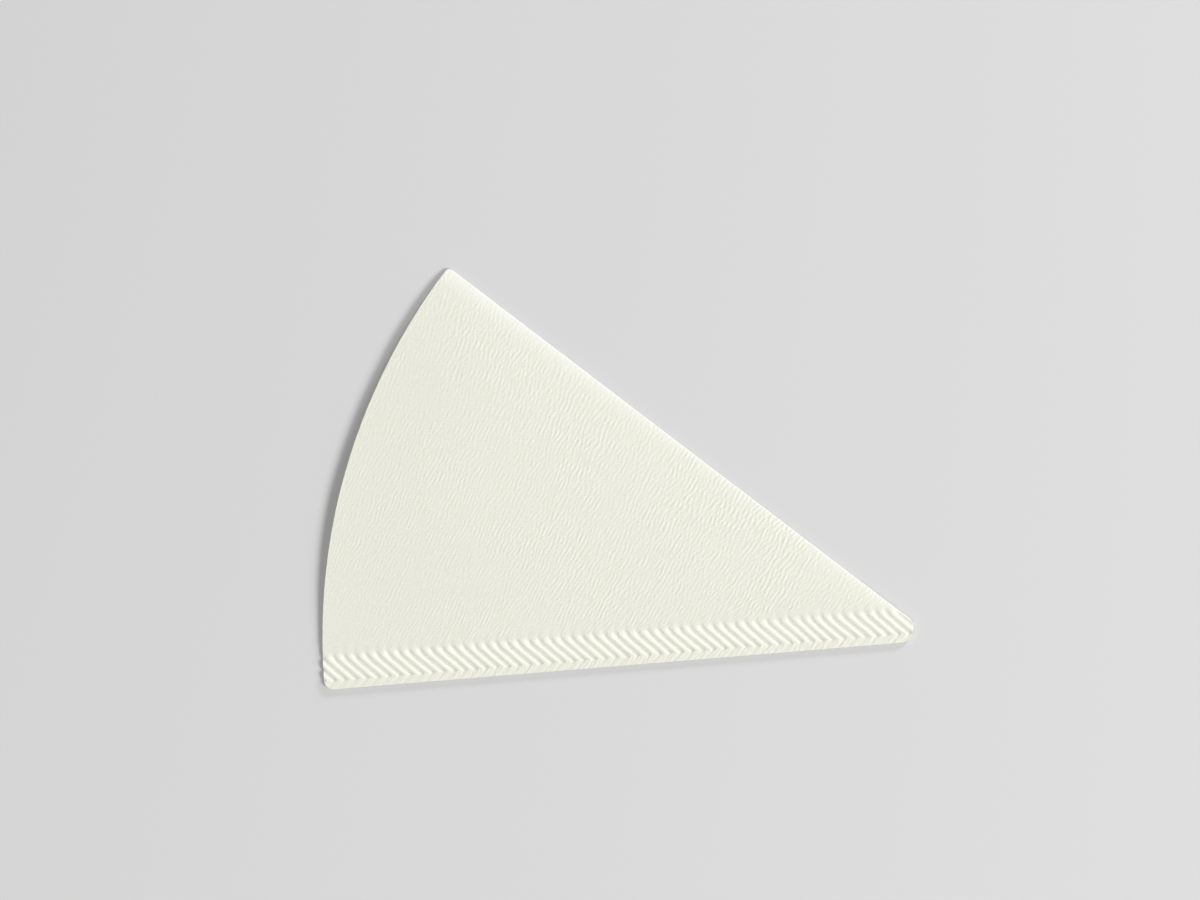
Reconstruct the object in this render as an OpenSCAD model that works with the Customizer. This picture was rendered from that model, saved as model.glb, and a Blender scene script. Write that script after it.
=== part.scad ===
// Cone coffee filter of creped paper, folded flat.
// One sheet is doubled over at a fold, crimped together along its straight cut edge with a
// band of chevrons, and die cut to an arc at the rim. Between the two plies lies a pocket, the
// inside of the cone, which stands slightly open at the rim.
// The crease is the line of the fold, the heel is the corner where the cut edge meets the rim,
// and the tip is where the cut edge meets the fold.

/* [Cone] */
// Full angle of the cone that the opened filter makes
cone_angle = 27; // [20:1:60]
// Length of the fold, from the sharp corner of the outline to the rim
fold_length = 130; // [90:1:200]
// How far the mouth stands open at the middle of the rim
gape = 2; // [0.6:0.1:3.5]

/* [Paper] */
// Thickness of one ply
ply = 0.25; // [0.15:0.05:0.5]

/* [Crimped seam] */
// Width of the crimped band along the cut edge
seam_w = 7; // [5:0.5:12]
// Width of the strip of short strokes beside the cut edge
short_w = 1.9; // [1:0.1:3]
// Distance from one chevron to the next along the cut edge
chevron_pitch = 2.3; // [1.8:0.1:4]
// Angle between a stroke and the cut edge
stroke_angle = 45; // [35:1:60]
// Height of a long stroke's crest above its groove
crimp_rise = 0.45; // [0.1:0.05:0.8]
// Height of a short stroke's crest above its groove
short_rise = 0.1; // [0.05:0.05:0.8]
// How narrow the grooves between the crests are, where 1 is as broad as the crests
groove_narrowing = 1.8; // [1:0.2:3]
// Width of the strip where the chevrons die out into the smooth paper
fade_w = 0.8; // [0.4:0.1:1.5]

/* [Corners] */
// Radius of the outline at the tip
tip_r = 3; // [1:0.5:5]
// Radius of the outline at the heel
heel_r = 2; // [0.5:0.5:4]
// Radius of the outline where the fold meets the rim
shoulder_r = 1; // [0.5:0.5:3]

/* [Hidden] */

// The flat sector's angle: half of the cone's developed angle lies in each ply
flat_angle = 180 * sin(cone_angle / 2);
half_flat = flat_angle / 2;

// Plan directions, seen from the sharp corner: along the fold, square to it and out of the
// sheet, and along the pocket's middle line. The cut edge runs along -X.
along_fold = [-cos(flat_angle), sin(flat_angle)];
off_fold = [sin(flat_angle), cos(flat_angle)];
along_middle = [-cos(half_flat), sin(half_flat)];

// The pocket's apex is the plan's working origin: the crease and the seam's inner edge cross
// there. The sharp corner of the outline lies one ply outside the crease, on the cut edge.
sharp_corner = [(ply + seam_w * cos(flat_angle)) / sin(flat_angle), -seam_w];

// Length of the pocket's middle line, from its apex to the rim
corner_on_middle = -sharp_corner * along_middle;
pocket_length = sqrt(fold_length ^ 2 - norm(sharp_corner) ^ 2 + corner_on_middle ^ 2)
    - corner_on_middle;

// The arched ply is a piece of a round cone with its apex at the pocket's apex. The cone's axis
// dips so far under the sheet that the cone meets the sheet along the crease and the seam.
rise_angle = atan(gape / pocket_length);
axis_dip = atan((cos(rise_angle) - cos(half_flat)) / sin(rise_angle));
arch_half_angle = axis_dip + rise_angle;

// How steeply the arch climbs from its apex, along the ray that lies so many degrees off the
// pocket's middle line in plan
function climb(off_middle) =
    let (across = cos(off_middle) * cos(axis_dip))
    tan(acos(cos(arch_half_angle) / norm([across, sin(axis_dip)]))
        - atan2(sin(axis_dip), across));

// Where the filter rests: the middle of the lower ply, which is the frame's origin
rest_point = along_middle * pocket_length / 2;

// Where two pieces of paper run on into each other, one tucks in between the faces of the other
tuck_w = 2 * ply;
tuck_in = ply / 2;

// Whole height, a length past everything in plan, and how far cuts run past what they cut
total_h = 2 * ply + max(gape, crimp_rise, short_rise);
reach = 2 * fold_length;
cut_margin = 1;

// Facets of one chevron, of the bead along the crease, of the arched ply and of a full circle
wave_steps = 6;
nose_steps = 6;
fan_rays = 24;
round_fn = 360;

// Solid between the table and a ply that arches from the given height at the crease and the
// seam. It is a fan of straight rays from the apex, as paper bends only across such rays.
module under_arch(height) {
    offsets = [for (ray = [0:fan_rays]) (ray / fan_rays - 0.5) * flat_angle];
    ends = [for (off = offsets) -reach * [cos(half_flat - off), -sin(half_flat - off), 0]];
    climbs = [for (off = offsets) abs(off) < half_flat ? climb(off) : 0];
    floor_points = concat([[0, 0, 0]], ends);
    roof_points = concat([[0, 0, height]],
        [for (ray = [0:fan_rays]) ends[ray] + [0, 0, height + reach * climbs[ray]]]);
    n = len(floor_points);
    rim = [for (k = [0:n - 1]) [k, (k + 1) % n]];
    polyhedron(concat(floor_points, roof_points), concat(
        [[for (k = [0:n - 1]) k]],
        [for (k = [1:n - 2]) [n, n + k + 1, n + k]],
        [for (side = rim) [side[1], side[0], side[0] + n]],
        [for (side = rim) [side[1], side[0] + n, side[1] + n]]));
}

// The paper turning over at the crease, as a half-round bead that tucks in between the faces of
// the plies. It starts just clear of the apex, where the crimp already holds the fold.
module fold_nose() {
    bead = [for (turn = [-90:180 / nose_steps:90]) ply * [cos(turn), 1 + sin(turn)]];
    tucked = [[-tuck_w, 2 * ply - tuck_in], [-tuck_w, tuck_in]];
    translate(tuck_w * along_fold) rotate([90, 0, 90 - flat_angle])
        mirror([0, 0, 1]) linear_extrude(reach) polygon(concat(bead, tucked));
}

// The inside of the cone, from its apex to past the rim
module pocket() {
    intersection() {
        under_arch(ply);
        translate([-reach, -cut_margin, ply]) cube([reach + cut_margin, reach, total_h]);
    }
}

// Both plies pressed into chevrons, as one sheet of two plies. Each row of the sheet is a
// distance from the cut edge, the height of the waves' middle there, the waves' rise, and how far
// the sheet tucks into the plies. Each column follows a stroke, so the rows step sideways at the
// angle of the strokes.
module crimped_band() {
    middle = max(crimp_rise, short_rise) / 2;
    rows = [
        [-cut_margin, middle, short_rise, 0],
        [short_w, middle, short_rise, 0],
        [short_w + fade_w / 2, middle, crimp_rise, 0],
        [seam_w - fade_w, middle, crimp_rise, 0],
        [seam_w, 0, 0, 0],
        [seam_w + tuck_w, 0, 0, tuck_in]
    ];
    lead_in = seam_w / tan(stroke_angle) + cut_margin;
    waves = ceil((fold_length + lead_in + cut_margin) / chevron_pitch);
    columns = waves * wave_steps + 1;
    start_x = sharp_corner[0] + lead_in;
    function groove(column) = pow((1 - cos(360 * column / wave_steps)) / 2, groove_narrowing);
    function wave(column) = 0.5 - groove(column);
    function place(row, column, is_top) = [
        start_x - column * chevron_pitch / wave_steps - abs(row[0] - short_w) / tan(stroke_angle),
        row[0] - seam_w,
        row[1] + row[2] * wave(column) + (is_top ? 2 * ply - row[3] : row[3])
    ];
    n_rows = len(rows);
    function at(side, row, column) = (side * n_rows + row) * columns + column;
    function two(a, b, c, d) = [[a, b, c], [a, c, d]];
    points = [for (side = [0, 1]) for (row = rows) for (column = [0:columns - 1])
        place(row, column, side == 1)];
    skins = [for (r = [0:n_rows - 2]) for (c = [0:columns - 2]) each concat(
        two(at(1, r, c), at(1, r, c + 1), at(1, r + 1, c + 1), at(1, r + 1, c)),
        two(at(0, r, c), at(0, r + 1, c), at(0, r + 1, c + 1), at(0, r, c + 1)))];
    long_sides = [for (c = [0:columns - 2]) each concat(
        two(at(0, 0, c), at(0, 0, c + 1), at(1, 0, c + 1), at(1, 0, c)),
        two(at(0, n_rows - 1, c + 1), at(0, n_rows - 1, c),
            at(1, n_rows - 1, c), at(1, n_rows - 1, c + 1)))];
    ends = [for (r = [0:n_rows - 2]) each concat(
        two(at(0, r + 1, 0), at(0, r, 0), at(1, r, 0), at(1, r + 1, 0)),
        two(at(0, r, columns - 1), at(0, r + 1, columns - 1),
            at(1, r + 1, columns - 1), at(1, r, columns - 1)))];
    polyhedron(points, concat(skins, long_sides, ends));
}

// What an outline loses at a corner, where its circle of radius r touches both sides:
// towards one side and then the other, from the circle's centre, out past the corner
module corner_waste(centre, r, one_side, outside, other_side) {
    difference() {
        polygon([centre, centre + (r + cut_margin) * one_side, outside,
                 centre + (r + cut_margin) * other_side]);
        translate(centre) circle(r = r, $fn = round_fn);
    }
}

// Outline of the die cut, around the sharp corner, with the fold's side moved out by a margin
module outline(margin) {
    to_cut_edge = [0, -1];
    tip_centre = [-tip_r / tan(half_flat), tip_r];
    heel_centre = [-sqrt((fold_length - heel_r) ^ 2 - heel_r ^ 2), heel_r];
    shoulder_in = sqrt((fold_length - shoulder_r) ^ 2 - shoulder_r ^ 2);
    shoulder_centre = shoulder_in * along_fold - shoulder_r * off_fold;
    past_rim = fold_length + 2 * cut_margin;
    difference() {
        intersection() {
            circle(r = fold_length, $fn = round_fn);
            polygon([[margin / sin(flat_angle), 0], reach * along_fold + margin * off_fold,
                     [-reach, 0]]);
        }
        corner_waste(tip_centre, tip_r, to_cut_edge, [tip_r, -cut_margin], off_fold);
        corner_waste(heel_centre, heel_r, to_cut_edge, [-past_rim, -cut_margin],
                     heel_centre / norm(heel_centre));
        corner_waste(shoulder_centre, shoulder_r, off_fold,
                     past_rim * along_fold + (margin + cut_margin) * off_fold,
                     shoulder_centre / norm(shoulder_centre));
    }
}

module die_cut(margin) {
    translate([sharp_corner[0], sharp_corner[1], -cut_margin])
        linear_extrude(total_h + 3 * cut_margin) outline(margin);
}

// The folded sheet, lying on its lower ply
module folded_filter() {
    color("ivory") translate([-rest_point[0], -rest_point[1], 0]) difference() {
        union() {
            intersection() {
                crimped_band();
                die_cut(0);
            }
            intersection() {
                union() {
                    under_arch(2 * ply);
                    fold_nose();
                }
                die_cut(ply);
            }
        }
        pocket();
    }
}

folded_filter();
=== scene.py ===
"""The looks of a cone coffee filter of creped paper, folded flat and lying on its lower ply.

The whole filter is one closed mesh. Its outer skin covers the top, the fold, the crimped seam
and the underside. Its inner skin lines the pocket, and the two meet around the mouth at the rim.
Lengths are in metres. Plan points have their origin at the pocket's apex, with the cut edge
along -X, and are moved to the frame's origin at the end.
"""
import math

import bpy
import numpy as np
from mathutils import Matrix, Vector
from mathutils.geometry import delaunay_2d_cdt


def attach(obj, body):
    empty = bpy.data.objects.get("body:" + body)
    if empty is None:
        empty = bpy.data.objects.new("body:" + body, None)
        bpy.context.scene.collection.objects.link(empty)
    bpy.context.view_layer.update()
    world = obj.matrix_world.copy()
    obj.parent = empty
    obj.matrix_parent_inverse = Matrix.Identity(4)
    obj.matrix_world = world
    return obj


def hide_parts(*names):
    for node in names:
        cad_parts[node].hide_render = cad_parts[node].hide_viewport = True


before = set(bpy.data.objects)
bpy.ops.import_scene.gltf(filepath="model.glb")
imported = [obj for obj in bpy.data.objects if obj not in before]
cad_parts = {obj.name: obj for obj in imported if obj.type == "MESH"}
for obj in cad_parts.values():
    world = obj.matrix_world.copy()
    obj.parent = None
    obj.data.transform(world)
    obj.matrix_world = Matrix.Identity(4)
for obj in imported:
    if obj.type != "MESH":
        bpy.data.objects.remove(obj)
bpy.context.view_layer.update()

MM = 0.001

# Driving dimensions of the filter
CONE_ANGLE = math.radians(27)
FOLD_LENGTH = 130 * MM
GAPE = 2 * MM
PLY = 0.25 * MM
SEAM_W = 7 * MM
SHORT_W = 1.9 * MM
CHEVRON_PITCH = 2.3 * MM
CRIMP_RISE = 0.45 * MM
TIP_R = 3 * MM
HEEL_R = 2 * MM
SHOULDER_R = 1 * MM

# Crepe of the paper: short wavy ridges that run nearly square to the fold. The tilt is how far
# from square they run round the crepe's middle, and the fan is how much that turns over its span,
# from the tip to the rim. The pitch, length and height are the ridges' own, and the wander is how
# far they stray sideways.
CREPE_TILT = math.radians(3.5)
CREPE_FAN = math.radians(23)
CREPE_FAN_SPAN = 90 * MM
CREPE_MIDDLE = np.array([65, 25]) * MM
CREPE_PITCH = 0.82 * MM
CREPE_LENGTH = 1.7 * MM
CREPE_RMS = 0.044 * MM
CREPE_WANDER = 0.15 * MM

# How much the ridges' pitch varies, and how strong and how fine the uneven ground under them is,
# beside the ridges and their pitch
PITCH_SPREAD = 0.24
GROUND_SHARE, GROUND_FINENESS = 0.12, 0.5

# How steep ridges are eased, and how much sharper ridges are than valleys
CREPE_EASING = 2
CREPE_SHARPNESS = 0.2

# The crepe's depth beside the fold, what it has lost further in and at the rim, how patchy it
# is, and its limits, all as shares of its usual depth
DEPTH_AT_FOLD, LOST_INWARDS = 1.12, 0.27
LOSS_REACH = 8 * MM, 28 * MM
LOST_AT_RIM = 0.38
PATCHINESS = 0.15
DEPTH_LIMITS = 0.4, 1.6

# What the crepe loses where it is stretched round the fold, on top near the tip, on top towards
# the rim and underneath, and what it loses on top where it is pressed into the strokes
STRETCHED_AT_TIP, STRETCHED_MORE_AT_RIM, STRETCHED_BELOW = 0.15, 0.5, 0.6
LOST_IN_STROKES = 0.5

# How far the seam pulls the ridges beside it along, and how far from it that reaches
SEAM_PULL = 0.9 * MM
SEAM_PULL_REACH = 1.6 * MM

# Room that the crepe of the underside needs to rest on its deepest ridges, and what it can
# spare of that in the seam
RESTING_ROOM = 2.2 * CREPE_RMS
SPARED_IN_SEAM = 0.7

# A chevron's wave has crests of 1 and grooves of 0. Its mean, how narrow its grooves are, how
# far it strays as a share of the pitch, and what is left of it beside the long strokes
WAVE_MIDDLE = 0.65
GROOVE_NARROWING = 1.8
CRIMP_WANDER = 0.04
FAINT_SHARE = 0.12

# How deeply the chevrons are pressed in, how much that varies slowly and quickly along the seam,
# and its limits, all as shares of the crimp's rise
USUAL_CRIMP, CRIMP_SWELL, CRIMP_PATCHINESS = 0.92, 0.08, 0.05
CRIMP_LIMITS = 0.7, 1.0

# Between which distances from the cut edge the short strokes give way to the long ones, the
# long ones turn faint, the last of them dies out, and the sheet settles from their middle height
SHORT_STROKES_END = 0.8 * SHORT_W, 1.2 * SHORT_W
LONG_STROKES_END = SEAM_W - 0.7 * MM, SEAM_W + 0.5 * MM
FAINT_STROKES_END = SEAM_W + 0.2 * MM, SEAM_W + 3 * MM
CRIMP_SETTLES = SEAM_W - 1 * MM, SEAM_W + 11 * MM

# Where the strokes start to swing into the run of the crepe, over what distance, and how far
# they lean then, where 1 is the lean of the long strokes
SWING_START = SEAM_W - 1.3 * MM
SWING_LENGTH = 3.0 * MM
SWUNG_LEAN = -0.5

# Between which distances from the cut edge the paper takes on the look of the long strokes, and
# between which distances from the seam's inner edge it takes on that of the smooth plies
STROKES_LOOK = 0.7 * SHORT_W, 1.4 * SHORT_W
SMOOTH_LOOK = -0.7 * MM, 0.6 * MM

# The upper ply's roll into the fold: its width and rise near the tip, what they gain towards
# the rim, and between which distances from the fold the rise settles again
ROLL_WIDTH, ROLL_WIDTH_GAIN = 1.1 * MM, 0.7 * MM
ROLL_RISE, ROLL_RISE_GAIN = 0.20 * MM, 0.25 * MM
ROLL_SETTLES = 5 * MM, 32 * MM

# How much the upper ply swells up and down, as a share of its arch
ARCH_SWELL = 0.07

# A painted highlight along the fold: a line on its very edge, and a band beside it, with their
# strengths and widths near the tip and what the band gains towards the rim
PAINTED_HIGHLIGHT_LINE, PAINTED_HIGHLIGHT_LINE_WIDTH = 0.5, 0.4 * MM
PAINTED_HIGHLIGHT_BAND, PAINTED_HIGHLIGHT_BAND_GAIN = 0.2, 0.3
PAINTED_HIGHLIGHT_WIDTH, PAINTED_HIGHLIGHT_WIDTH_GAIN = 0.7 * MM, 1.3 * MM

# Painted shade in the grooves of the long strokes: how much darker than their crests the tint is
STROKE_SHADE = 0.3

# How deep the groove between the plies is in the cut edge, how thick a ply is at the pocket as a
# share of its full thickness, and the least height of the pocket
EDGE_GROOVE = 0.04 * MM
LINED_SHARE = 0.9
LEAST_POCKET = 0.01 * MM

# Spacing of mesh points across and along the crepe's ridges, and how many points each chevron
# and each row of strokes has, on the two sides of the sheet
CREPE_STEPS = {"top": (0.22 * MM, 0.50 * MM), "bottom": (0.27 * MM, 0.80 * MM)}
STROKE_POINTS = {"top": (10, 4, 11), "bottom": (8, 3, 8)}

# Spacing along the crease, along the seam's inner edge, along the cut edges and in the pocket
CREASE_STEP = 0.20 * MM
SEAM_STEP = CHEVRON_PITCH / 10
EDGE_STEP = 0.28 * MM
POCKET_STEP = 2.0 * MM

# Rows of points beside the crease, how far from the sharp corner they start, how far they stay
# off the seam, and where they give way to the crepe's lattice
ROLL_ROWS = 0.25 * MM, 0.55 * MM
ROLL_ROWS_START = 5 * MM
ROLL_ROWS_OFF_SEAM = 0.2 * MM
ROLL_ROWS_END = 0.8 * MM

# How clear points stay of the outline, how many faces the edge has on each ply, and how far a
# surface may bend before it is drawn with a sharp edge
PLY_CLEAR, SEAM_CLEAR, ROLL_CLEAR = 0.13 * MM, 0.11 * MM, 0.15 * MM
EDGE_FACES = 3
SHARP_ANGLE = math.radians(62)

# Colours of the paper: its ridges, its valleys as painted shade, its clouds, and the fold's
# painted highlight.
RIDGE_COLOUR = (0.890, 0.892, 0.800, 1)
SHADE_AND_FLECK_COLOUR = (0.800, 0.798, 0.685, 1)
CLOUD_COLOUR = (0.850, 0.842, 0.762, 1)
PAINTED_HIGHLIGHT_COLOUR = (0.935, 0.935, 0.905, 1)

# Grain of the paper, in waves a metre: ripples, two lays of fibres with their directions, and
# clouds. Ripples and fibres are drawn out lengthwise. The heights are their shares of the bumps.
RIPPLE_SCALE, RIPPLE_STRETCH = 1900, (0.2, 1, 1)
FIBRE_SCALES, FIBRE_TURNS, FIBRE_STRETCH = (5200, 4300), (0.6, -0.9), (0.25, 1, 1)
CLOUD_SCALE = 330
RIPPLE_HEIGHT, FIBRE_HEIGHT = 2.0, 0.35
GRAIN_DEPTH = 0.06 * MM

# The studio. A lamp has its azimuth and elevation in degrees, its distance and size, and how
# bright it alone makes a white sheet on the floor, where 1 is white.
FLOOR_COLOUR = (0.70, 0.70, 0.70, 1)
FLOOR_HALF = 2.5
FLOOR_DROP = 0.02 * MM
WORLD_LEVEL = 0.29
BACKDROP_COLOUR = (0.9, 0.9, 0.9, 1)
LAMPS = {
    "key": (-28, 42, 2.2, 0.9, 0.44),
    "edge_light": (50, 20, 1.5, 0.4, 0.15),
    "fill": (225, 55, 1.2, 0.7, 0.15),
}

# The photograph's frame in pixels, and how the sharp corner, the rim and the cut edge lie in it
PHOTO_W, PHOTO_H = 1200, 900
CORNER_PX = (937.0, 639.5)
RIM_RADIUS_PX = 614
CUT_EDGE_TILT = math.radians(4.7)

# The camera's height over the sheet's plane, in metres, and its sensor, in its own millimetres
CAMERA_HEIGHT = 0.6
SENSOR_WIDTH = 36

# Plan directions from the sharp corner, where the fold's outer edge and the cut edge would meet
FLAT = math.pi * math.sin(CONE_ANGLE / 2)
HALF = FLAT / 2
ALONG_FOLD = np.array([-math.cos(FLAT), math.sin(FLAT)])
OFF_FOLD = np.array([math.sin(FLAT), math.cos(FLAT)])
ALONG_MIDDLE = np.array([-math.cos(HALF), math.sin(HALF)])
DOWN = np.array([0.0, -1.0])
CORNER = np.array([(PLY + SEAM_W * math.cos(FLAT)) / math.sin(FLAT), -SEAM_W])
APEX = np.zeros(2)

# Length of the pocket's middle line, and where the filter rests under it
corner_on_middle = -CORNER @ ALONG_MIDDLE
POCKET_LENGTH = (math.sqrt(FOLD_LENGTH ** 2 - CORNER @ CORNER + corner_on_middle ** 2)
                 - corner_on_middle)
REST_POINT = ALONG_MIDDLE * POCKET_LENGTH / 2

# The arched ply is a piece of a round cone whose axis dips under the sheet
RISE_ANGLE = math.atan(GAPE / POCKET_LENGTH)
AXIS_DIP = math.atan((math.cos(RISE_ANGLE) - math.cos(HALF)) / math.sin(RISE_ANGLE))
ARCH_HALF_ANGLE = AXIS_DIP + RISE_ANGLE

# Directions across and along the crepe's ridges
ridge_turn = FLAT - CREPE_TILT
ACROSS_RIDGES = np.array([-math.cos(ridge_turn), math.sin(ridge_turn)])
ALONG_RIDGES = np.array([-math.sin(ridge_turn), -math.cos(ridge_turn)])

# Spans of the noise grids, which reach past the sheet on all sides, and where the plan's origin
# lies on them
CLOUD_SPAN = 160 * MM
CLOUD_ORIGIN = np.array([130, 10]) * MM
RIDGES_SPAN = 160 * MM, 120 * MM
RIDGES_MARGIN = 8 * MM, 15 * MM

rng = np.random.default_rng(27)


def smooth_step(x, low, high):
    """0 below low, 1 above high, and smooth between."""
    t = np.clip((x - low) / (high - low), 0, 1)
    return t * t * (3 - 2 * t)


class Noise:
    """Smooth seeded noise of unit spread on a grid over the sheet, read between its points."""

    def __init__(self, width, height, step_u, step_v, spectrum):
        """spectrum takes the cycles a metre along u and v and gives the share that is kept."""
        self.steps = step_u, step_v
        shape = int(width / step_u) + 4, int(height / step_v) + 4
        white = np.fft.fft2(rng.standard_normal(shape))
        f_u = np.fft.fftfreq(shape[0], step_u)[:, None]
        f_v = np.fft.fftfreq(shape[1], step_v)[None, :]
        grid = np.fft.ifft2(white * spectrum(np.abs(f_u), np.abs(f_v))).real
        self.grid = grid / grid.std()

    def __call__(self, u, v):
        gu, gv = u / self.steps[0] + 1, v / self.steps[1] + 1
        i = np.clip(np.floor(gu).astype(int), 0, self.grid.shape[0] - 2)
        j = np.clip(np.floor(gv).astype(int), 0, self.grid.shape[1] - 2)
        a, b = np.clip(gu - i, 0, 1), np.clip(gv - j, 0, 1)
        g = self.grid
        near = g[i, j] * (1 - b) + g[i, j + 1] * b
        far = g[i + 1, j] * (1 - b) + g[i + 1, j + 1] * b
        return near * (1 - a) + far * a


def bell(f, centre, spread):
    return np.exp(-((f - centre) / spread) ** 2 / 2)


def cloud(size):
    """Round blobs of about the given size, over the whole sheet."""
    def keep(f_u, f_v):
        return bell(np.hypot(f_u, f_v), 0, 0.35 / size)
    return Noise(CLOUD_SPAN, CLOUD_SPAN, size / 4, size / 4, keep)


def crepe_ridges():
    """Ridges along v, one pitch apart along u, with some uneven ground under them."""
    def keep(f_u, f_v):
        along = bell(f_v, 0, 1 / CREPE_LENGTH)
        return (bell(f_u, 1 / CREPE_PITCH, PITCH_SPREAD / CREPE_PITCH)
                + GROUND_SHARE * bell(f_u, 0, GROUND_FINENESS / CREPE_PITCH)) * along
    return Noise(*RIDGES_SPAN, CREPE_PITCH / 8, CREPE_LENGTH / 8, keep)


upper_crepe, lower_crepe = crepe_ridges(), crepe_ridges()
weave_off = cloud(7 * MM)
crepe_patches = cloud(9 * MM)
swell = cloud(22 * MM)
crimp_patches = cloud(6 * MM)


def cloud_coords(xy):
    """Places on the clouds' grids, positive all over the sheet."""
    return xy[:, 0] + CLOUD_ORIGIN[0], xy[:, 1] + CLOUD_ORIGIN[1]


def fold_coords(xy):
    """Distance along the fold from the sharp corner, and inward from the fold's outer edge."""
    d = xy - CORNER
    return d @ ALONG_FOLD, -(d @ OFF_FOLD)


def crepe_coords(xy):
    """Places across and along the fanned ridges, both positive all over the sheet."""
    d = xy - CORNER
    u, v = d @ ACROSS_RIDGES, d @ ALONG_RIDGES
    turn = math.tan(CREPE_FAN) * (u - CREPE_MIDDLE[0]) / CREPE_FAN_SPAN
    return u + turn * (v - CREPE_MIDDLE[1]) + RIDGES_MARGIN[0], v + RIDGES_MARGIN[1]


def towards_rim(xy):
    """0 in the tip's half of the fold, rising to 1 near the rim."""
    p, _ = fold_coords(xy)
    return smooth_step(p, 0.35 * FOLD_LENGTH, 0.95 * FOLD_LENGTH)


def crepe(xy, ridges):
    """Height of the crepe, on average nil. It is deepest beside the fold."""
    u, v = crepe_coords(xy)
    _, q = fold_coords(xy)
    place = cloud_coords(xy)
    wander = CREPE_WANDER * weave_off(*place)
    above_seam = np.clip(xy[:, 1], 0, None)
    u = u - SEAM_PULL * np.exp(-above_seam / SEAM_PULL_REACH)
    depth = 1 - LOST_AT_RIM * towards_rim(xy) + PATCHINESS * crepe_patches(*place)
    inwards = DEPTH_AT_FOLD - LOST_INWARDS * smooth_step(q, *LOSS_REACH)
    depth = np.clip(depth, *DEPTH_LIMITS) * inwards
    h = CREPE_EASING * np.tanh(ridges(u + wander, v) / CREPE_EASING)
    h = h + CREPE_SHARPNESS * (h * h - 1)
    return CREPE_RMS * depth * h


def arch(xy):
    """Height of the upper ply above the lower one, from the round cone."""
    r = np.hypot(xy[:, 0], xy[:, 1])
    off = np.arctan2(xy[:, 1], xy[:, 0]) - (math.pi - HALF)
    off = np.clip(off, -HALF, HALF)
    across = np.cos(off) * math.cos(AXIS_DIP)
    to_cone = np.clip(math.cos(ARCH_HALF_ANGLE) / np.hypot(across, math.sin(AXIS_DIP)), -1, 1)
    tilt = np.arccos(to_cone) - np.arctan2(math.sin(AXIS_DIP), across)
    return np.maximum(r * np.tan(tilt), 0)


def lean(v):
    """How far a stroke has stepped sideways at a distance v from the cut edge. Past the long
    strokes it swings upright and then over, into the run of the crepe."""
    t = np.clip(v - SWING_START, 0, SWING_LENGTH)
    straight = np.abs(np.minimum(v, SWING_START) - SHORT_W)
    past = np.maximum(v - SWING_START - SWING_LENGTH, 0)
    return straight + t - (1 - SWUNG_LEAN) / 2 * t ** 2 / SWING_LENGTH + SWUNG_LEAN * past


def crimp(xy):
    """Height of the chevrons: broad crests between narrow grooves that reach down to nil, faint
    in the short strokes. The sheet round them is held up at their middle height, and settles
    gently away from the seam."""
    v = xy[:, 1] - CORNER[1]
    u = xy[:, 0] - CORNER[0] + lean(v)
    place = cloud_coords(xy)
    turn = 2 * math.pi * (u / CHEVRON_PITCH + CRIMP_WANDER * crimp_patches(*place))
    wave = 1 - ((1 - np.cos(turn)) / 2) ** GROOVE_NARROWING
    strong_share = 1 - FAINT_SHARE
    low = FAINT_SHARE + strong_share * smooth_step(v, *SHORT_STROKES_END)
    high = 1 - strong_share * smooth_step(v, *LONG_STROKES_END)
    tail = 1 - smooth_step(v, *FAINT_STROKES_END)
    settled = 1 - smooth_step(v, *CRIMP_SETTLES)
    uneven = USUAL_CRIMP + CRIMP_SWELL * swell(*place) + CRIMP_PATCHINESS * crimp_patches(*place)
    uneven = np.clip(uneven, *CRIMP_LIMITS)
    return CRIMP_RISE * (WAVE_MIDDLE * settled + uneven * low * high * tail
                         * (wave - WAVE_MIDDLE))


def in_seam(xy):
    """1 in the crimped band, 0 in the smooth plies, and smooth across the seam's inner edge."""
    return 1 - smooth_step(xy[:, 1], *SMOOTH_LOOK)


def in_long_strokes(xy):
    v = xy[:, 1] - CORNER[1]
    return in_seam(xy) * smooth_step(v, *STROKES_LOOK)


def turned_over(xy):
    """1 on the fold's edge, falling to 0 where the paper has finished its roll to the fold."""
    _, q = fold_coords(xy)
    roll_width = ROLL_WIDTH + ROLL_WIDTH_GAIN * towards_rim(xy)
    return np.exp(-(np.maximum(q, 0) / roll_width) ** 1.3)


def top_form(xy):
    """Height of the upper ply's top, without the crepe."""
    _, q = fold_coords(xy)
    settled = 1 - smooth_step(q, *ROLL_SETTLES)
    rise = ROLL_RISE + ROLL_RISE_GAIN * towards_rim(xy)
    roll = rise * (1 - turned_over(xy)) * settled
    swelling = ARCH_SWELL * swell(*cloud_coords(xy)) * arch(xy)
    return 2 * PLY + crimp(xy) + arch(xy) + swelling + roll * (1 - in_seam(xy))


def top_height(xy):
    """Height of the upper ply's top. The crepe is stretched out at the fold."""
    stretched = (STRETCHED_AT_TIP + STRETCHED_MORE_AT_RIM * towards_rim(xy)) * turned_over(xy)
    pressed = LOST_IN_STROKES * in_long_strokes(xy)
    return top_form(xy) + crepe(xy, upper_crepe) * (1 - pressed) * (1 - stretched)


def bottom_form(xy):
    """Height of the lower ply's underside, without the crepe, which it rests on."""
    return crimp(xy) + RESTING_ROOM * (1 - SPARED_IN_SEAM * in_seam(xy))


def bottom_height(xy):
    ripple = crepe(xy, lower_crepe) * (1 - STRETCHED_BELOW * turned_over(xy))
    resting = np.maximum(RESTING_ROOM + ripple, 0)
    return crimp(xy) + resting * (1 - SPARED_IN_SEAM * in_seam(xy))


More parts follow.
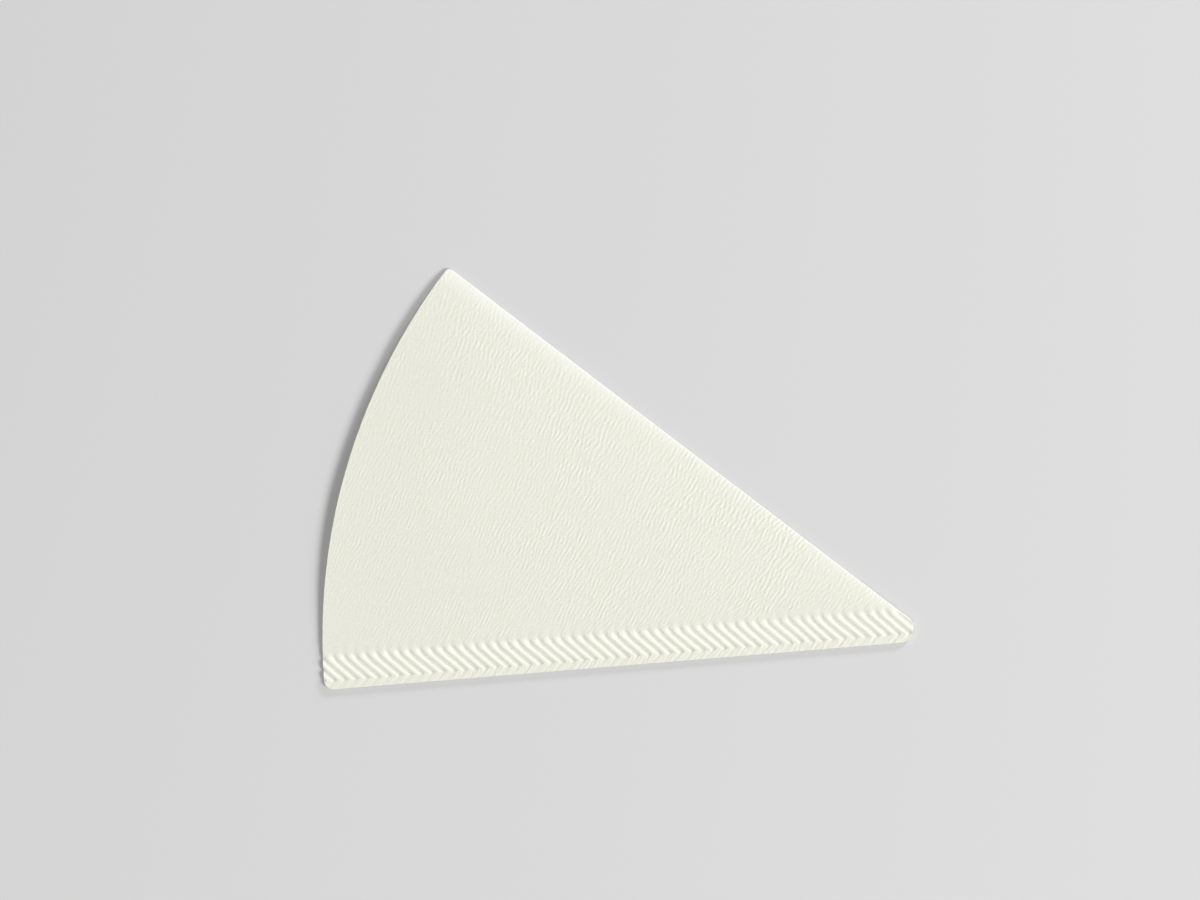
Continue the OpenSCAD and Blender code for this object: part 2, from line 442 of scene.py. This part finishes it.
def corners():
    """The outline's three rounded corners, each as the centre of its round, its radius and the
    two directions, from that centre, to where it meets the outline's sides."""
    heel = CORNER + np.array([-math.sqrt((FOLD_LENGTH - HEEL_R) ** 2 - HEEL_R ** 2), HEEL_R])
    shoulder_in = math.sqrt((FOLD_LENGTH - SHOULDER_R) ** 2 - SHOULDER_R ** 2)
    shoulder = CORNER + shoulder_in * ALONG_FOLD - SHOULDER_R * OFF_FOLD
    tip = CORNER + np.array([-TIP_R / math.tan(HALF), TIP_R])

    def to_rim(centre):
        return (centre - CORNER) / np.linalg.norm(centre - CORNER)
    return {"shoulder": (shoulder, SHOULDER_R, OFF_FOLD, to_rim(shoulder)),
            "heel": (heel, HEEL_R, to_rim(heel), DOWN),
            "tip": (tip, TIP_R, DOWN, OFF_FOLD)}


CORNERS = corners()


def inside(xy, clear):
    """Which points lie within the outline and the crease line, at least clear from them."""
    _, q = fold_coords(xy)
    d = xy - CORNER
    ok = (q > PLY + clear) & (d[:, 1] > clear)
    ok &= np.hypot(d[:, 0], d[:, 1]) < FOLD_LENGTH - clear
    for centre, r, one, other in CORNERS.values():
        e = xy - centre
        shares = np.linalg.solve(np.column_stack([one, other]), e.T)
        in_corner = (shares > 0).all(axis=0)
        ok &= ~in_corner | (np.hypot(e[:, 0], e[:, 1]) < r - clear)
    return ok


def arc(centre, r, start, end, step):
    """Points on a circle from one angle to another, both ends included."""
    n = max(2, round(abs(end - start) * r / step) + 1)
    turn = np.linspace(start, end, n)
    return centre + r * np.column_stack([np.cos(turn), np.sin(turn)])


def line(start, end, step):
    n = max(2, round(np.linalg.norm(end - start) / step) + 1)
    return start + np.linspace(0, 1, n)[:, None] * (end - start)


def angle(direction):
    return math.atan2(direction[1], direction[0]) % (2 * math.pi)


def joined(*stretches):
    """One polyline, with each joint's point once."""
    return np.vstack([stretches[0]] + [s[1:] for s in stretches[1:]])


def crease_point(name, side):
    """Where the crease line meets a corner's round, on its far (1) or near (-1) side."""
    centre, r = CORNERS[name][:2]
    p, _ = fold_coords(centre[None, :])
    return CORNER + ((p[0] + side * math.sqrt(r ** 2 - (r - PLY) ** 2)) * ALONG_FOLD
                     - PLY * OFF_FOLD)


def outline_parts():
    """The outline round the sheet, counter-clockwise: the mouth's rim from the shoulder to the
    seam's inner edge, the cut sides from there to the tip, and the crease line back."""
    shoulder, tip, heel = CORNERS["shoulder"], CORNERS["tip"], CORNERS["heel"]
    top_end, tip_end = crease_point("shoulder", 1), crease_point("tip", -1)
    seam_angle = math.pi - math.asin(SEAM_W / FOLD_LENGTH)
    mouth = joined(
        arc(shoulder[0], SHOULDER_R, angle(top_end - shoulder[0]), angle(shoulder[3]), EDGE_STEP),
        arc(CORNER, FOLD_LENGTH, angle(shoulder[3]), seam_angle, EDGE_STEP))
    cut = joined(
        arc(CORNER, FOLD_LENGTH, seam_angle, angle(heel[2]), EDGE_STEP),
        arc(heel[0], HEEL_R, angle(heel[2]), angle(DOWN), EDGE_STEP),
        line(heel[0] + HEEL_R * DOWN, tip[0] + TIP_R * DOWN, EDGE_STEP),
        arc(tip[0], TIP_R, angle(DOWN), angle(tip_end - tip[0]) + 2 * math.pi, EDGE_STEP))
    return mouth, cut, line(tip_end, APEX, CREASE_STEP), line(APEX, top_end, CREASE_STEP)


def in_loop_order(face):
    """Whether a triangle between three of the loop's points lies inside it. Slivers outside a
    straight stretch of the loop name its points the other way round."""
    a, b, c = face
    return a < b < c or b < c < a or c < a < b


def triangulate(loop, filling):
    """Triangles over the region inside a closed loop of points, through more points in it. The
    triangles count the loop's points first and the filling's after them."""
    points = np.vstack([loop, filling])
    n = len(loop)
    edges = [(k, (k + 1) % n) for k in range(n)]
    verts, _, faces, origins, _, _ = delaunay_2d_cdt(
        [Vector(point / MM) for point in points], edges, [], 1, 1e-5, True)
    if len(verts) != len(points) or any(len(origin) != 1 for origin in origins):
        raise ValueError("the plan's points overlap")
    source = [origin[0] for origin in origins]
    triangles = [[source[k] for k in face] for face in faces]
    return [face for face in triangles if max(face) >= n or in_loop_order(face)]


def lattice(u_dir, v_dir, u_step, v_step, first_u, last_u, first_v, last_v):
    """A grid of points round the sharp corner, along two directions, every other row shifted
    by half a step."""
    u, v = np.meshgrid(np.arange(first_u, last_u, u_step), np.arange(first_v, last_v, v_step))
    u[1::2] += u_step / 2
    return CORNER + u.ravel()[:, None] * u_dir + v.ravel()[:, None] * v_dir


def ply_filling(across, along, clear):
    """Points over the smooth plies, in lines along the crepe's ridges, picked from a lattice
    that reaches past the sheet."""
    span = FOLD_LENGTH + 20 * MM
    points = lattice(ACROSS_RIDGES, ALONG_RIDGES, across, along, -10 * MM, span, -20 * MM, span)
    return points[inside(points, clear) & (points[:, 1] > clear)]


def creased_filling(across, along):
    """The same, with rows along the crease line for the roll of the paper there."""
    p = np.arange(ROLL_ROWS_START, FOLD_LENGTH, CREASE_STEP)[:, None]
    rows = np.vstack([CORNER + p * ALONG_FOLD - (PLY + inset) * OFF_FOLD for inset in ROLL_ROWS])
    rows = rows[inside(rows, ROLL_CLEAR) & (rows[:, 1] > ROLL_ROWS_OFF_SEAM)]
    smooth = ply_filling(across, along, PLY_CLEAR)
    _, q = fold_coords(smooth)
    return np.vstack([smooth[q > PLY + ROLL_ROWS_END], rows])


def stroke_space(xy):
    """The seam with its strokes stood upright, so that triangles follow the strokes."""
    v = xy[:, 1] - CORNER[1]
    return np.column_stack([xy[:, 0] - CORNER[0] + lean(v), v / 2])


def seam_filling(in_chevron, in_short, in_long):
    """Points over the seam, so many to a chevron and to the strokes' two lengths."""
    rows = np.concatenate([
        np.linspace(0, SHORT_W, in_short + 1)[1:],
        np.linspace(SHORT_W, SEAM_W, in_long + 1)[1:-1]])
    across = np.arange(-FOLD_LENGTH - 5 * MM, 10 * MM, CHEVRON_PITCH / in_chevron)
    u, v = np.meshgrid(across, rows)
    points = CORNER + np.column_stack([u.ravel() - lean(v.ravel()), v.ravel()])
    return points[inside(points, SEAM_CLEAR)]


def plan_key(side, xy):
    """What a plan point is known by on one side of the sheet."""
    return side, round(xy[0] / MM, 6), round(xy[1] / MM, 6)


class Skin:
    """Points and faces of the mesh. A point may be asked for twice by its key."""

    def __init__(self):
        self.points, self.faces, self.keys = [], [], {}

    def add(self, xyz):
        self.points.append(tuple(xyz))
        return len(self.points) - 1

    def at(self, side, xy, height=0):
        """The index of a plan point on one side of the sheet, added when it is new."""
        key = plan_key(side, xy)
        if key not in self.keys:
            self.keys[key] = self.add((xy[0], xy[1], height))
        return self.keys[key]

    def share(self, side, other, xy):
        """Give one side the other's point at a place, where the other has one."""
        if plan_key(other, xy) in self.keys:
            self.keys[plan_key(side, xy)] = self.keys[plan_key(other, xy)]

    def cover(self, side, plan, heights, triangles, upward):
        for face in triangles:
            face = [self.at(side, plan[k], heights[k]) for k in face]
            self.faces.append(face if upward else face[::-1])


def cover_outside(skin, ply_loop, seam_loop):
    """The top and the underside, each with its smooth ply and its side of the seam."""
    for side, height in (("top", top_height), ("bottom", bottom_height)):
        fill = creased_filling(*CREPE_STEPS[side])
        plan = np.vstack([ply_loop, fill])
        skin.cover(side, plan, height(plan), triangulate(ply_loop, fill), side == "top")
        fill = seam_filling(*STROKE_POINTS[side])
        plan = np.vstack([seam_loop, fill])
        triangles = triangulate(stroke_space(seam_loop), stroke_space(fill))
        skin.cover(side, plan, height(plan), triangles, side == "top")


def line_pocket(skin, mouth):
    """The pocket's lining: a ceiling and a floor that share their edges at the crease and the
    seam, and follow the crepe only around the mouth."""
    back = joined(line(mouth[-1], APEX, POCKET_STEP), line(APEX, mouth[0], POCKET_STEP))
    loop = joined(mouth, back)[:-1]
    fill = ply_filling(POCKET_STEP, POCKET_STEP, 0.6 * POCKET_STEP)
    plan = np.vstack([loop, fill])
    top, bottom = top_form(plan), bottom_form(plan)
    top[:len(mouth)], bottom[:len(mouth)] = top_height(mouth), bottom_height(mouth)
    ceiling, floor = top - LINED_SHARE * PLY, bottom + LINED_SHARE * PLY
    middle = (top + bottom) / 2
    parted = np.maximum(ceiling - floor, LEAST_POCKET) / 2
    shared = np.zeros(len(plan), bool)
    shared[0] = True
    shared[len(mouth) - 1:len(loop)] = True
    triangles = [face for face in triangulate(loop, fill) if not shared[face].all()]
    skin.cover("ceiling", plan, np.where(shared, middle, middle + parted), triangles, False)
    for xy in plan[shared]:
        skin.share("floor", "ceiling", xy)
    skin.cover("floor", plan, np.where(shared, middle, middle - parted), triangles, True)


def outward(loop):
    """Unit directions out of a closed counter-clockwise loop, at its points."""
    along = np.roll(loop, -1, axis=0) - np.roll(loop, 1, axis=0)
    out = np.column_stack([along[:, 1], -along[:, 0]])
    return out / np.linalg.norm(out, axis=1)[:, None]


def bead(xy):
    """How far the folded paper bulges past the crease line, at points on that line."""
    p, _ = fold_coords(xy)
    bulge = np.full(len(xy), PLY)
    for name, side in (("shoulder", 1), ("tip", -1)):
        centre, r = CORNERS[name][:2]
        past = side * (p - fold_coords(centre[None, :])[0])
        on_round = np.sqrt(np.clip(r ** 2 - past ** 2, 0, None))
        bulge = np.where(past > 0, np.minimum(bulge, PLY - r + on_round), bulge)
    return np.maximum(bulge, 0)


def edge_ring(skin, xy, out, bulge, in_mouth):
    """Points round the edge at one place: from the top down, and from the underside up. In the
    mouth each row ends at its ply's lining, and elsewhere both end between the plies."""
    upper, lower = [skin.at("top", xy)], [skin.at("bottom", xy)]
    high, low = skin.points[upper[0]][2], skin.points[lower[0]][2]
    if in_mouth:
        upper_end, lower_end = skin.at("ceiling", xy), skin.at("floor", xy)
    else:
        groove = EDGE_GROOVE if bulge == 0 else 0
        centre = xy + (bulge - groove) * out
        upper_end = lower_end = skin.add((*centre, (high + low) / 2))
    upper_stop, lower_stop = skin.points[upper_end][2], skin.points[lower_end][2]
    for share in np.arange(1, EDGE_FACES) / EDGE_FACES:
        turn = share * math.pi / 2
        sideways = bulge * math.sin(turn) * out
        drop = 1 - math.cos(turn) if bulge > 0 else share
        upper.append(skin.add((*(xy + sideways), high + drop * (upper_stop - high))))
        lower.append(skin.add((*(xy + sideways), low + drop * (lower_stop - low))))
    return upper + [upper_end], lower + [lower_end]


def close_edge(skin, mouth, cut, low_crease, high_crease):
    """The edge all round. Round the mouth each ply has an edge of its own, and elsewhere they
    are pressed together or folded over."""
    loop = joined(mouth, cut, low_crease, high_crease)[:-1]
    creased = np.zeros(len(loop), bool)
    creased[len(mouth) + len(cut) - 2:] = True
    creased[0] = True
    out = np.where(creased[:, None], OFF_FOLD, outward(loop))
    bulge = np.where(creased, bead(loop), 0)
    rings = [edge_ring(skin, loop[k], out[k], bulge[k], k < len(mouth))
             for k in range(len(loop))]
    for this, after in zip(rings, rings[1:] + rings[:1]):
        for row in range(EDGE_FACES):
            skin.faces.append([this[0][row], this[0][row + 1], after[0][row + 1], after[0][row]])
            skin.faces.append([this[1][row], after[1][row], after[1][row + 1], this[1][row + 1]])


def filter_skin():
    mouth, cut, low_crease, high_crease = outline_parts()
    seam_line = line(mouth[-1], APEX, SEAM_STEP)
    ply_loop = joined(high_crease, mouth, seam_line)[:-1]
    seam_loop = joined(seam_line[::-1], cut, low_crease)[:-1]
    skin = Skin()
    cover_outside(skin, ply_loop, seam_loop)
    line_pocket(skin, mouth)
    close_edge(skin, mouth, cut, low_crease, high_crease)
    return skin


def relief(plan):
    """How high the paper stands, from its valleys (-1) to its crests (1), for its painted shade.
    """
    crests = crepe(plan, upper_crepe) / (2 * CREPE_RMS)
    waves = STROKE_SHADE * crimp(plan) / CRIMP_RISE + (1 - STROKE_SHADE)
    strokes = in_long_strokes(plan)
    return np.clip(crests * (1 - strokes) + waves * strokes, -1, 1)


def painted_fold_highlight(plan):
    """How strongly the highlight is painted along the fold: most on its edge, and in a band
    beside it that widens towards the rim."""
    _, q = fold_coords(plan)
    q = np.maximum(q, 0)
    band_width = PAINTED_HIGHLIGHT_WIDTH + PAINTED_HIGHLIGHT_WIDTH_GAIN * towards_rim(plan)
    strength = PAINTED_HIGHLIGHT_BAND + PAINTED_HIGHLIGHT_BAND_GAIN * towards_rim(plan)
    band = strength * np.exp(-(q / band_width) ** 1.5)
    return PAINTED_HIGHLIGHT_LINE * np.exp(-(q / PAINTED_HIGHLIGHT_LINE_WIDTH) ** 2) + band


def build_filter():
    skin = filter_skin()
    points = np.array(skin.points)
    plan = points[:, :2].copy()
    points[:, :2] -= REST_POINT
    mesh = bpy.data.meshes.new("filter_sheet")
    mesh.from_pydata(points.tolist(), [], skin.faces)
    mesh.validate()
    # The relief sets the painted shade in the valleys, and the crease value the painted highlight
    # along the fold
    for name, values in (("relief", relief(plan)), ("crease", painted_fold_highlight(plan))):
        mesh.attributes.new(name, "FLOAT", "POINT").data.foreach_set("value", values)
    mesh.shade_smooth()
    mesh.set_sharp_from_angle(angle=SHARP_ANGLE)
    piece = bpy.data.objects.new("filter_sheet", mesh)
    bpy.context.scene.collection.objects.link(piece)
    return piece


class Nodes:
    """A material's node tree, with short calls for adding and joining nodes."""

    def __init__(self, name):
        self.material = bpy.data.materials.new(name)
        self.material.use_nodes = True
        self.tree = self.material.node_tree
        self.shader = self.tree.nodes["Principled BSDF"]

    def feed(self, socket, value):
        """Join a socket to another node's output, or set the socket's own value."""
        if isinstance(value, bpy.types.NodeSocket):
            self.tree.links.new(value, socket)
        else:
            socket.default_value = value

    def add(self, kind, inputs=None, **settings):
        node = self.tree.nodes.new(kind)
        for name, value in settings.items():
            setattr(node, name, value)
        for name, value in (inputs or {}).items():
            self.feed(node.inputs[name], value)
        return node

    def noise(self, place, scale, detail=3.0, roughness=0.55):
        node = self.add("ShaderNodeTexNoise", {"Vector": place, "Scale": scale, "Detail": detail,
                                               "Roughness": roughness})
        return node.outputs["Fac"]

    def attribute(self, name):
        return self.add("ShaderNodeAttribute", attribute_name=name).outputs["Fac"]

    def spread(self, value, low, high, to_low, to_high):
        node = self.add("ShaderNodeMapRange", {
            "Value": value, "From Min": low, "From Max": high,
            "To Min": to_low, "To Max": to_high})
        return node.outputs["Result"]

    def math(self, operation, a, b):
        node = self.add("ShaderNodeMath", operation=operation)
        for socket, value in zip(node.inputs, (a, b)):
            self.feed(socket, value)
        return node.outputs[0]

    def turned(self, place, turn, scale):
        node = self.add("ShaderNodeMapping", {
            "Vector": place, "Rotation": (0, 0, turn), "Scale": scale})
        return node.outputs["Vector"]

    def mixed(self, share, one, other):
        node = self.add("ShaderNodeMix", data_type="RGBA")
        for name, value in (("Factor", share), ("A", one), ("B", other)):
            socket = [s for s in node.inputs if s.name == name and s.enabled][-1]
            self.feed(socket, value)
        return [s for s in node.outputs if s.enabled][0]


def paper_material():
    """Off-white creped paper: fibres, soft clouds, painted valley shade, painted fold highlight.
    """
    n = Nodes("creped_paper")
    place = n.add("ShaderNodeTexCoord").outputs["Object"]
    # Fine ripples run along the crepe's ridges, and fibres lie two other ways
    ridge_angle = math.atan2(ALONG_RIDGES[1], ALONG_RIDGES[0])
    ripples = n.noise(n.turned(place, -ridge_angle, RIPPLE_STRETCH), RIPPLE_SCALE, 2.0)
    fibres, fibres_across = [
        n.noise(n.turned(place, turn, FIBRE_STRETCH), scale, 3.0, 0.65)
        for turn, scale in zip(FIBRE_TURNS, FIBRE_SCALES)]
    clouds = n.noise(place, CLOUD_SCALE)

    # Painted shade: the tint darkens the lower the paper stands in its valleys and grooves. Fibre
    # flecks darken it with the same colour.
    valley_shade = n.spread(n.attribute("relief"), -1, 1, 0.9, -0.1)
    flecks = n.spread(n.math("MULTIPLY", fibres, fibres_across), 0.16, 0.36, 0.25, 0)
    tint = n.mixed(n.math("ADD", valley_shade, flecks), RIDGE_COLOUR, SHADE_AND_FLECK_COLOUR)
    mottled = n.mixed(n.spread(clouds, 0.35, 0.65, 0, 0.3), tint, CLOUD_COLOUR)
    # A painted highlight along the fold, over the paper's tint
    n.feed(n.shader.inputs["Base Color"], n.mixed(n.attribute("crease"), mottled, PAINTED_HIGHLIGHT_COLOUR))
    n.feed(n.shader.inputs["Roughness"], n.spread(fibres, 0.3, 0.7, 0.86, 0.96))
    n.shader.inputs["Specular IOR Level"].default_value = 0.25
    n.shader.inputs["Subsurface Weight"].default_value = 0.12
    n.shader.inputs["Subsurface Radius"].default_value = (1.0, 0.92, 0.78)
    n.shader.inputs["Subsurface Scale"].default_value = 0.5 * MM

    height = n.math("ADD", n.math("MULTIPLY", ripples, RIPPLE_HEIGHT),
                    n.math("MULTIPLY", n.math("ADD", fibres, fibres_across), FIBRE_HEIGHT))
    bump = n.add("ShaderNodeBump", {"Height": height, "Strength": 0.6, "Distance": GRAIN_DEPTH})
    n.feed(n.shader.inputs["Normal"], bump.outputs["Normal"])
    return n.material


def floor_material():
    n = Nodes("pale_floor")
    n.shader.inputs["Base Color"].default_value = FLOOR_COLOUR
    n.shader.inputs["Roughness"].default_value = 0.9
    n.shader.inputs["Specular IOR Level"].default_value = 0.1
    return n.material


def build_floor():
    half = FLOOR_HALF
    mesh = bpy.data.meshes.new("floor")
    mesh.from_pydata([(-half, -half, 0), (half, -half, 0), (half, half, 0), (-half, half, 0)],
                     [], [(0, 1, 2, 3)])
    mesh.materials.append(floor_material())
    floor = bpy.data.objects.new("floor", mesh)
    floor.location.z = -FLOOR_DROP
    bpy.context.scene.collection.objects.link(floor)


def build_world():
    """A white world that fills the shadows, seen by the camera as a pale backdrop."""
    world = bpy.data.worlds.new("studio")
    bpy.context.scene.world = world
    world.use_nodes = True
    tree = world.node_tree
    fill = tree.nodes["Background"]
    fill.inputs["Color"].default_value = (1, 1, 1, 1)
    fill.inputs["Strength"].default_value = WORLD_LEVEL
    seen = tree.nodes.new("ShaderNodeBackground")
    seen.inputs["Color"].default_value = BACKDROP_COLOUR
    mix = tree.nodes.new("ShaderNodeMixShader")
    ray = tree.nodes.new("ShaderNodeLightPath")
    tree.links.new(ray.outputs["Is Camera Ray"], mix.inputs["Fac"])
    tree.links.new(fill.outputs[0], mix.inputs[1])
    tree.links.new(seen.outputs[0], mix.inputs[2])
    tree.links.new(mix.outputs[0], tree.nodes["World Output"].inputs["Surface"])


def area_light(name, azimuth, elevation, distance, size, level):
    """A round lamp that looks at the origin."""
    azimuth, elevation = math.radians(azimuth), math.radians(elevation)
    lamp = bpy.data.lights.new(name, "AREA")
    lamp.shape = "DISK"
    lamp.size = size
    lamp.energy = level * math.pi ** 2 * distance ** 2 / math.sin(elevation)
    light = bpy.data.objects.new(name, lamp)
    towards = Vector((math.cos(azimuth) * math.cos(elevation),
                      math.sin(azimuth) * math.cos(elevation), math.sin(elevation)))
    light.location = towards * distance
    light.rotation_euler = towards.to_track_quat("Z", "Y").to_euler()
    bpy.context.scene.collection.objects.link(light)


def build_camera():
    """A camera that looks straight down, placed so that the sheet lies as in the photograph."""
    metres_a_pixel = FOLD_LENGTH / RIM_RADIUS_PX
    right = Vector((math.cos(CUT_EDGE_TILT), -math.sin(CUT_EDGE_TILT), 0))
    up = Vector((math.sin(CUT_EDGE_TILT), math.cos(CUT_EDGE_TILT), 0))
    corner = Vector((*(CORNER - REST_POINT), 0))
    centre = (corner + right * (PHOTO_W / 2 - CORNER_PX[0]) * metres_a_pixel
              + up * (CORNER_PX[1] - PHOTO_H / 2) * metres_a_pixel)
    data = bpy.data.cameras.new("camera")
    data.sensor_width = SENSOR_WIDTH
    data.lens = CAMERA_HEIGHT * data.sensor_width / (PHOTO_W * metres_a_pixel)
    data.clip_start = 0.01
    camera = bpy.data.objects.new("camera", data)
    turn = Matrix((right, up, right.cross(up))).transposed().to_4x4()
    camera.matrix_world = Matrix.Translation(centre + Vector((0, 0, CAMERA_HEIGHT))) @ turn
    bpy.context.scene.collection.objects.link(camera)
    bpy.context.scene.camera = camera


sheet = build_filter()
sheet.data.materials.append(paper_material())
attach(sheet, "root")
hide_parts("folded_filter")

build_floor()
build_world()
for lamp_name, lamp_values in LAMPS.items():
    area_light(lamp_name, *lamp_values)
build_camera()
bpy.context.scene.view_settings.view_transform = "Standard"
